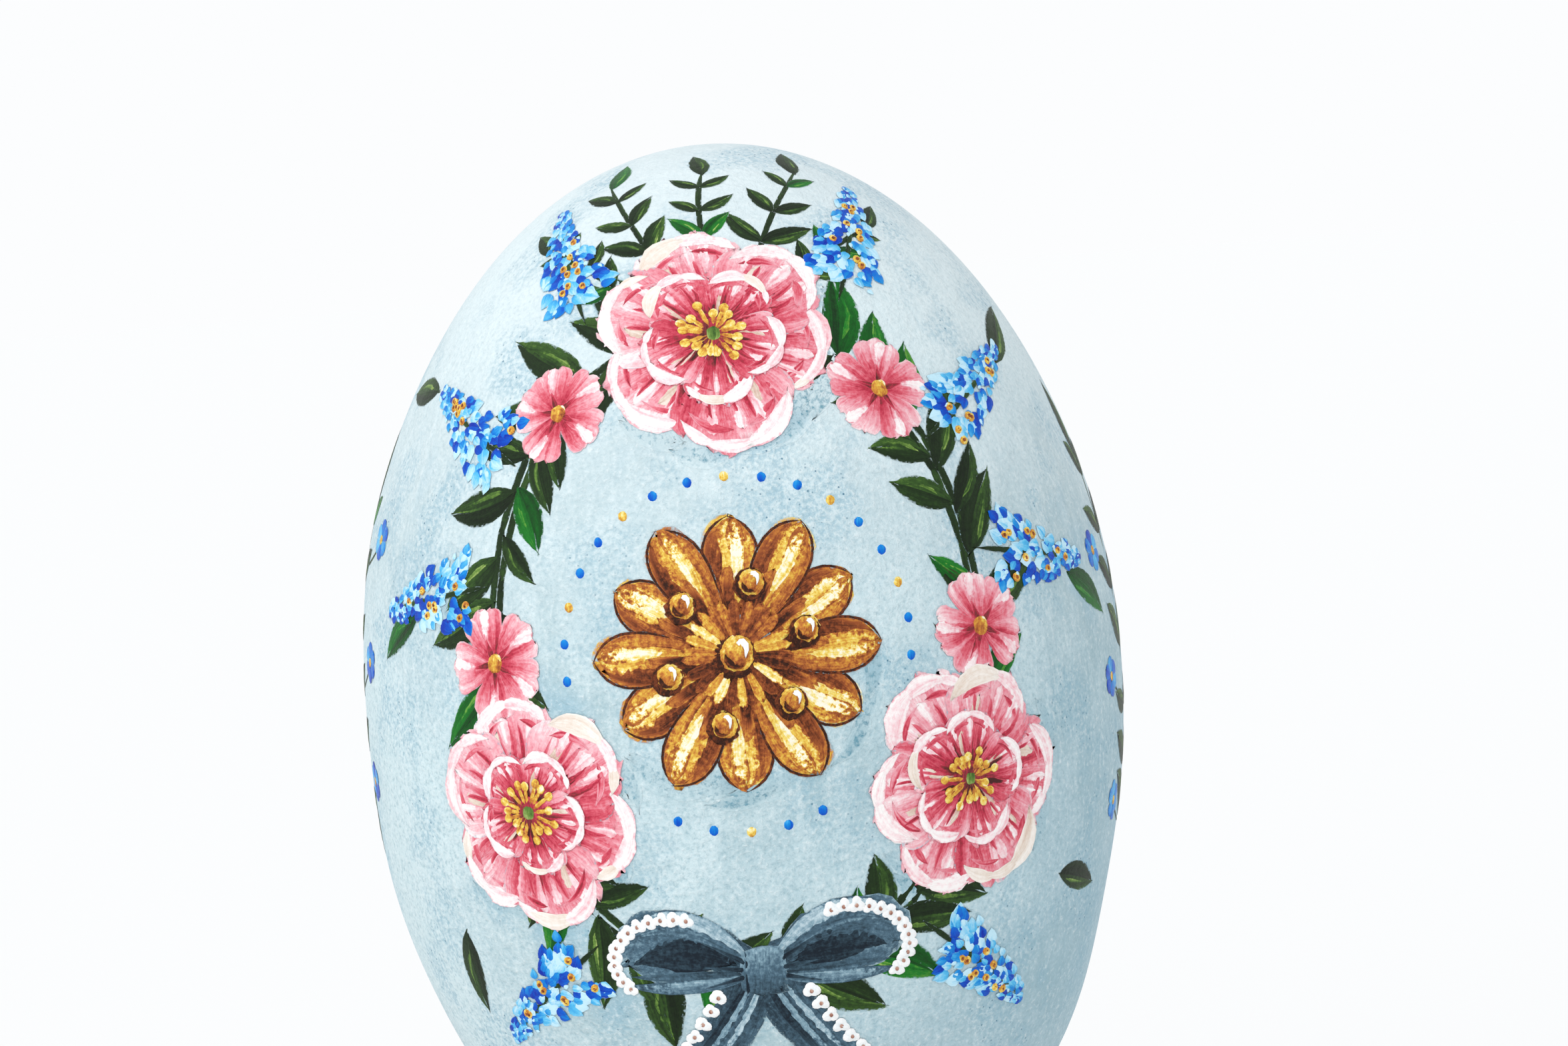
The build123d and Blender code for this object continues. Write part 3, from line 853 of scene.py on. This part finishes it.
def goldPetal(spot, outer):
    tone = spot["hand"].uniform(-0.05, 0.05)
    inner, wide = rosetteForm["inner"], rosetteForm["wide"]
    run = outer - inner
    for shift, start, end, share, (dark, pale), coat, dry in rosetteForm["coats"]:
        a, b = inner + run * start, inner + run * end
        path = [(shift * wide * 0.4, a), (shift * wide * 1.25, (a + b) / 2), (shift * wide * 0.5, b)]
        stroke(spot, path, wide * share, "tongue", (dark + tone, pale + tone), "gold", coat, dry=dry,
               bed=0.42 if coat else groundBed, lanes=0.07)
    for edge in (-wide, wide):  # dark outline
        path = [(edge * 0.3, inner + 0.2 * run), (edge * 0.72, inner + 0.85 * run), (0, outer + 0.02 * run)]
        stroke(spot, path, rosetteForm["outline"] / spot["unit"], "line", (0.0, 0.05), "gold", 1)


def goldRosette(spot):
    hand = spot["hand"]
    count = rosetteForm["petals"]
    for k in [*range(0, count, 2), *range(1, count, 2)]:  # every other petal lies on top
        top = k % 2
        goldPetal(shifted(spot, 0, 0, 360 / count * k, unit=spot["unit"], up=4 * top), 0.94 + 0.06 * top)
    for k in range(rosetteForm["rays"]):
        turn = 360 / rosetteForm["rays"] * k + hand.uniform(-4, 4)
        tone = hand.choice((0.08, 0.2, 0.34, 0.5, 0.7))
        path = rays((turn, 0.05), (turn, 0.2), (turn, 0.38))
        stroke(spot, path, 0.1, "tongue", (tone, tone + 0.15), "gold", 9, dry=0.3, bed=0.3, strip="small")
    for k in range(rosetteForm["studs"]):
        x, y = ray(360 / rosetteForm["studs"] * k + 15, rosetteForm["studCircle"])
        stud(shifted(spot, x, y, unit=rosetteForm["studSize"], up=10))
    stud(shifted(spot, 0, 0, unit=rosetteForm["middleStud"], up=10))


bowForm = {  # right half, in mm
    "tail": [(0.6, -0.5), (3.2, -6.0), (7.2, -10.5)],
    "tailWide": 4.6,
    # folds down the tail: side shift, width, shade
    "folds": [(-1.5, 1.1, 0.08), (-0.4, 0.9, 0.66), (0.6, 1.2, 0.36), (1.5, 1.0, 0.82)],
    "loop": [(0.5, 0.2), (7.0, 5.0), (12.5, 1.6)],
    "loopWide": 8.2,
    "hollow": [(2.6, 0.9), (7.0, 2.9), (11.2, 1.4)],
    "hollowWide": 3.4,
    # bands of light and shade along the loop: path, width, shade
    "bands": [
        ([(0.8, 1.0), (6.6, 8.2), (12.8, 4.2)], 1.6, 0.85),
        ([(1.0, 0.6), (6.6, 6.2), (12.0, 3.4)], 1.1, 0.5),
        ([(0.9, -0.4), (7.0, -1.6), (12.4, -0.8)], 1.5, 0.62),
        ([(1.0, -0.2), (7.0, -0.2), (11.6, 0.0)], 1.0, 0.36),
    ],
    "creases": [2.6, 0.6, -1.1],
    "knot": [(0, -2.3), (0.2, 0.2), (0, 2.5)],
    "knotFolds": [(-1.5, 0.05), (-0.4, 0.92), (0.7, 0.28), (1.5, 0.08)],    # side shift, shade
    "lace": 13,
    "laceMiddle": (8.0, 1.5), "laceReach": (5.3, 3.9), "laceShift": (2.1, 0.9),
}


def eyelet(spot, x, y):  # blob of lace in thick white with a small brown hole
    hand = spot["hand"]
    for k in range(3):
        dx, dy = ray(120 * k + hand.uniform(-30, 30), 0.28)
        long, wide = hand.uniform(0.9, 1.2), hand.uniform(0.8, 1.1)
        dab(spot, x + dx, y + dy, 120 * k, long, wide, (0.6, 1.0), "white", 6 + k % 2, 0.1, 0.8)
    dab(spot, x, y, 0, 0.4, 0.36, (0.3, 0.5), "cream", 18, 0.01, 0.4)


def bow(spot):
    for edge in (-1, 1):
        flip = lambda path: [(edge * x, y) for x, y in path]
        tail = flip(bowForm["tail"])
        stroke(spot, tail, bowForm["tailWide"], "flat", (0.24, 0.48), "slate", dry=0.15, ragged=0.12,
               strip="broad")
        for shift, wide, tone in bowForm["folds"]:
            path = [(x + shift * (0.4 + 0.2 * i), y) for i, (x, y) in enumerate(tail)]
            stroke(spot, path, wide, "leaf", (tone, tone + 0.08), "slate", 1, dry=0.8, bed=0.38)
        stroke(spot, flip(bowForm["loop"]), bowForm["loopWide"], "tongue", (0.26, 0.52), "slate", 2, dry=0.1,
               strip="broad")
        stroke(spot, flip(bowForm["hollow"]), bowForm["hollowWide"], "leaf", (0.0, 0.14), "slate", 3, bed=0.3,
               strip="broad")
        for band, wide, tone in bowForm["bands"]:
            stroke(spot, flip(band), wide, "leaf", (tone - 0.12, tone + 0.1), "slate", 4, dry=0.7, bed=0.42)
        for rise in bowForm["creases"]:  # out of the knot
            path = flip([(0.8, rise * 0.2), (2.8, rise * 0.7), (5.2, rise * 1.2)])
            stroke(spot, path, 0.55, "comma", (0.0, 0.2), "slate", 5, dry=0.7, bed=0.3, strip="line")
        dots = []  # lace round the loop and down the tail
        for k in range(bowForm["lace"]):
            turn = math.radians(-42 + 12.5 * k)
            dots.append((bowForm["laceMiddle"], bowForm["laceReach"], (math.cos(turn), math.sin(turn))))
        for k in range(2, 9):
            dots.append((bent(bowForm["tail"], k / 8), bowForm["laceShift"], (1, 1)))
        for middle, reach, share in dots:
            x, y = [a + b * c for a, b, c in zip(middle, reach, share)]
            eyelet(spot, edge * x, y)
    stroke(spot, bowForm["knot"], 4.2, "flat", (0.3, 0.72), "slate", 6, lift=0.1)
    for x, tone in bowForm["knotFolds"]:
        path = [(x, -2.0), (x * 0.6, 0), (x, 2.1)]
        stroke(spot, path, 0.7, "leaf", (tone, tone), "slate", 7, dry=0.5, bed=0.5, strip="small")


wreath = {
    "height": 60.5, "across": 23.0, "up": 29.0,   # middle of the ring and its half sizes along the skin, mm
    "blossoms": [(90, 11.6), (207, 10.6), (333, 10.4)],                         # place on the ring, size
    "posies": [(50, 5.0), (130, 4.8), (180, 5.2), (0, 5.0)],
    # place on the ring, lean, distance out
    "sprays": [(36, -62, 2), (144, 62, 2), (68, -32, 6.5), (112, 32, 6.5), (14, -100, 2.5), (166, 100, 2.5),
               (236, 128, 4), (304, -128, 4)],
    "leafEvery": 10,        # degrees
    "leafSides": [(-1, 7.0, 10.0), (1, 5.0, 7.0)],   # side of the stem, shortest and longest
    "rosette": 12.6,
    "beads": 30, "beadCircle": 15.6,
    "crown": [(-60, 12.0), (-30, 14.0), (0, 12.5), (30, 14.0), (60, 12.0)],   # sprigs over the top flower
    "crownOut": 8.5, "crownPairs": 3,
    "crownLeaf": 0.36,      # length of its leaves as a share of the sprig
    # loose leaves round the ring: side, up, turn, length
    "loose": [(31, 24, -70, 8.5), (35, 1, -115, 8.0), (-31, 23, 75, 8.0), (-35, 5, 110, 7.5),
              (31, -24, -140, 7.5), (-32, -26, 150, 8.0)],
    "drift": 2.5,           # how far a loose leaf may stray, mm
    # sprigs up the sides of the egg: angle, height, turn, length, pairs of leaves, leaf length
    "sides": [(88, 36, 5, 40.0, 7, 7.4), (-92, 37, -4, 39.0, 7, 7.4)],
    "buds": 6,
}


def ringPoint(turn, lean=0.0, out=0.0):  # a point of the ring, or one moved out from there in a direction
    t = math.radians(turn)
    dx, dy = ray(lean, out)
    return wreath["across"] * math.cos(t) + dx, wreath["up"] * math.sin(t) + dy


def ringHeading(turn):  # how far the ring's direction is turned from straight up
    t = math.radians(turn)
    return math.degrees(math.atan2(wreath["across"] * math.sin(t), wreath["up"] * math.cos(t)))


def paintWreath(sheets, angle):
    leaves, flowers, bells, gilt, ribbon = [spotAt(sheet, angle, wreath["height"]) for sheet in sheets]
    hand = leaves["hand"]
    for lane in (0.0, 0.7):  # two twisted stems
        grow = 1 + (lane - 0.35) * 0.05
        for turn in range(0, 360, 15):
            path = [[c * grow for c in ringPoint(turn + d + lane * 9)] for d in (-2, 8, 18)]
            stroke(leaves, path, 0.75, "line", (0.12, 0.4), "leaf")
    for turn in range(0, 360, wreath["leafEvery"]):
        for side, shortest, longest in wreath["leafSides"]:
            x, y = ringPoint(turn + hand.uniform(-3, 3))
            length = hand.uniform(shortest, longest)
            heading = ringHeading(turn) + side * hand.uniform(38, 64)
            leaf(shifted(leaves, x, y, heading, unit=length, up=1), hand.uniform(0.32, 0.4))
    for lean, length in wreath["crown"]:
        tuft = shifted(leaves, *ringPoint(90, lean, wreath["crownOut"]), -lean, up=1)
        sprig(tuft, length, wreath["crownPairs"], wreath["crownLeaf"] * length)
    for x, y, lean, length in wreath["loose"]:
        x += hand.uniform(-1, 1) * wreath["drift"]
        y += hand.uniform(-1, 1) * wreath["drift"]
        leaf(shifted(leaves, x, y, lean + hand.uniform(-35, 35), unit=length, up=1), 0.32)
    for turn, lean, out in wreath["sprays"]:
        spray(shifted(bells, *ringPoint(turn, -lean, out), lean, up=8))
    for turn, reach in wreath["blossoms"]:
        shadow(shifted(leaves, *ringPoint(turn), unit=reach))
        blossom(shifted(flowers, *ringPoint(turn), unit=reach, up=4))
    for turn, reach in wreath["posies"]:
        posy(shifted(flowers, *ringPoint(turn), unit=reach, up=6))
    shadow(shifted(leaves, 0, 0, unit=wreath["rosette"]))
    goldRosette(shifted(gilt, 0, 0, unit=wreath["rosette"], up=2))
    for k in range(wreath["beads"]):
        x, y = ray(360 / wreath["beads"] * k, wreath["beadCircle"])
        if any(math.dist((x, y), ringPoint(turn)) < reach + 1 for turn, reach in wreath["blossoms"]):
            continue
        paint, tone = ("blue", 0.2) if k % 3 else ("gold", 0.55)
        dab(gilt, x, y, 0, 0.95, 0.9, (tone, tone + 0.3), paint, 0, 0.08)
    bow(shifted(ribbon, *ringPoint(270, 0, 0.5), up=4))


def paintSides(sheet):
    hand = sheet["hand"]
    for angle, height, turn, length, pairs, leafLength in wreath["sides"]:
        spot = spotAt(sheet, angle, height, turn, coat=1)
        sprig(spot, length, pairs, leafLength)
        for k in range(wreath["buds"]):  # small flowers of blue dabs beside the leaves
            side = 1 if k % 2 else -1
            bud = shifted(spot, side * hand.uniform(6.5, 8.5), length * (0.16 + 0.145 * k))
            stalk = [(0, 0), (-side * 2, -2.5), (-side * 6.5, -3.5)]
            stroke(bud, stalk, 0.3, "line", (0.2, 0.4), "leaf")
            for m in range(6):
                tone = hand.uniform(0.05, 0.6)
                dab(bud, *ray(60 * m, 1.05), 60 * m + 180, 1.7, 1.5, (tone, tone + 0.25), "blue", 2 + m % 2,
                    shape="drop")
            dab(bud, 0, 0, 0, 0.9, 0.9, (0.5, 0.7), "gold", 5)


# Artist's acrylic from a bristle brush: streaked colour that breaks up on the tooth where the brush ran dry
def paintFinish(tree, rough, grain, stops):
    under, tooth, grit = groundCoat(tree)
    drawn = add(tree, "Mapping", {"Vector": add(tree, "UVMap", uv_map="brush"), "Scale": brush["bristle"]})
    bristle = add(tree, "TexNoise", {"Vector": drawn, "Scale": 1.0, "Detail": 4.0, "Roughness": 0.65})
    shade, cover, bed = [
        add(tree, "Attribute", attribute_name=label).outputs["Fac"] for label in ("shade", "cover", "bed")]
    grip = add(tree, "Math", (cover, tooth), operation="ADD")
    hold = add(tree, "MapRange", (grip, *brush["grip"]))
    onPaint = add(tree, "Math", (bed, 0.0), operation="GREATER_THAN")
    onGround = add(tree, "Math", (1.0, onPaint), operation="SUBTRACT")
    holdPaint = add(tree, "Math", (hold, onGround), operation="MAXIMUM")
    holdGround = add(tree, "Math", (hold, onPaint), operation="MAXIMUM")
    mixed = add(tree, "Mix", {0: holdPaint, 2: bed, 3: shade}, data_type="FLOAT")
    for pattern, span, stray in ((bristle, (0.25, 0.75), brush["streak"]), (tooth, (0.3, 0.7), grain)):
        vary = add(tree, "MapRange", (pattern, *span, -stray, stray))
        mixed = add(tree, "Math", (mixed, vary), operation="ADD")
    colour = add(tree, "ValToRGB", [mixed], stops)
    shown = add(tree, "Mix", {0: holdGround, 6: under, 7: colour}, data_type="RGBA").outputs[2]
    ridge = add(tree, "Math", (grit, 0.3 + 4 * grain, bristle), operation="MULTIPLY_ADD")
    relief = add(tree, "Bump", {"Height": ridge, "Strength": 1.0, "Distance": brush["ridge"] * mm})
    return add(tree, "BsdfPrincipled", {
        "Base Color": shown, "Roughness": rough, "IOR": 1.49, "Specular IOR Level": 0.14, "Normal": relief})


paintMaterials = {
    name: makeMaterial(name + " acrylic", paintFinish, *paint) for name, paint in paints.items()}


def finishSheet(sheet, name):
    mesh = bpy.data.meshes.new(name)
    mesh.from_pydata(sheet["points"], [], sheet["faces"])
    for label in ("shade", "cover", "bed"):
        mesh.attributes.new(label, "FLOAT", "POINT").data.foreach_set("value", sheet[label])
    layout = mesh.uv_layers.new(name="brush")
    for loop in mesh.loops:
        layout.data[loop.index].uv = sheet["brush"][loop.vertex_index]
    used = sorted(set(sheet["paint"]))
    for paint in used:
        mesh.materials.append(paintMaterials[paint])
    mesh.polygons.foreach_set("material_index", [used.index(paint) for paint in sheet["paint"]])
    mesh.polygons.foreach_set("use_smooth", [True] * len(mesh.polygons))
    mesh.update()
    piece = bpy.data.objects.new(name, mesh)
    scene.collection.objects.link(piece)
    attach(piece, "egg")
    print("painted", name, len(mesh.polygons))


for seed, face, angle in ((20, "front", 0), (60, "back", 180)):
    names = [face + "_leaves", face + "_blossoms", face + "_bells", face + "_rosette", face + "_bow"]
    sheets = [newSheet(seed + k) for k in range(len(names))]
    paintWreath(sheets, angle)
    for sheet, name in zip(sheets, names):
        finishSheet(sheet, name)
sideSheet = newSheet(90)
paintSides(sideSheet)
finishSheet(sideSheet, "side_sprigs")
print("stage: brushwork")

# Camera at the photograph's viewing angle
view = {
    "lens": 125.0,
    "sensor": 36.0,
    "distance": 504.9,   # mm
    "elevation": 5.0,
    "roll": 4.5,
    "aim": (4.9, 0.0, 15.5),      # mm, from the egg's middle
    "nearest": 0.01,     # m
}


def makeCamera():
    data = bpy.data.cameras.new("camera")
    data.lens = view["lens"]
    data.sensor_width = view["sensor"]
    data.clip_start = view["nearest"]
    camera = bpy.data.objects.new("camera", data)
    scene.collection.objects.link(camera)
    tilt = math.radians(view["elevation"])
    back = Vector((0, -math.cos(tilt), math.sin(tilt)))
    place = eggMiddle + Vector(view["aim"]) * mm + back * view["distance"] * mm
    turn = back.to_track_quat("Z", "Y").to_matrix().to_4x4()
    turn = turn @ Matrix.Rotation(math.radians(-view["roll"]), 4, "Z")
    camera.matrix_world = Matrix.Translation(place) @ turn
    scene.camera = camera


makeCamera()
print("stage: camera")

# Light and stage: white surroundings on all sides and one large soft lamp from the upper left
light = {
    "world": "#f6f8fb",
    "worldStrength": 0.73,
    "backdrop": "#fcfdfe",
    "sunStrength": 1.65,
    "sunSpread": 80.0,
    "sunTilt": (37, -30, 0),
    "floor": "#f8f8f7",
    "floorSize": 3.0,       # m
    "floorSides": 96,
}


def makeLight():
    world = bpy.data.worlds.new("studio")
    scene.world = world
    world.use_nodes = True
    tree = world.node_tree
    tree.nodes.clear()
    lightPath = add(tree, "LightPath")
    seen = 0.0
    for kind in ("Is Camera Ray", "Is Glossy Ray", "Is Transmission Ray"):
        seen = add(tree, "Math", (seen, lightPath.outputs[kind]), operation="MAXIMUM")
    lit = add(tree, "Background", {"Color": linear(light["world"]), "Strength": light["worldStrength"]})
    white = add(tree, "Background", {"Color": linear(light["backdrop"]), "Strength": 1.0})
    add(tree, "OutputWorld", [add(tree, "MixShader", (seen, lit, white))])
    sun = bpy.data.lights.new("soft_key", "SUN")
    sun.energy = light["sunStrength"]
    sun.angle = math.radians(light["sunSpread"])
    lamp = bpy.data.objects.new("soft_key", sun)
    lamp.rotation_euler = [math.radians(a) for a in light["sunTilt"]]
    scene.collection.objects.link(lamp)


def paperFinish(tree):  # matt white paper, without any shine
    return add(tree, "BsdfDiffuse", {"Color": linear(light["floor"]), "Roughness": 0.0})


def makeFloor():
    clearSelection()
    bpy.ops.mesh.primitive_circle_add(
        vertices=light["floorSides"], radius=light["floorSize"], fill_type="NGON", location=(0, 0, 0))
    floor = bpy.context.object
    floor.name = "floor"
    dress(floor, makeMaterial("white paper", paperFinish))


makeLight()
makeFloor()
print("stage: light and floor")
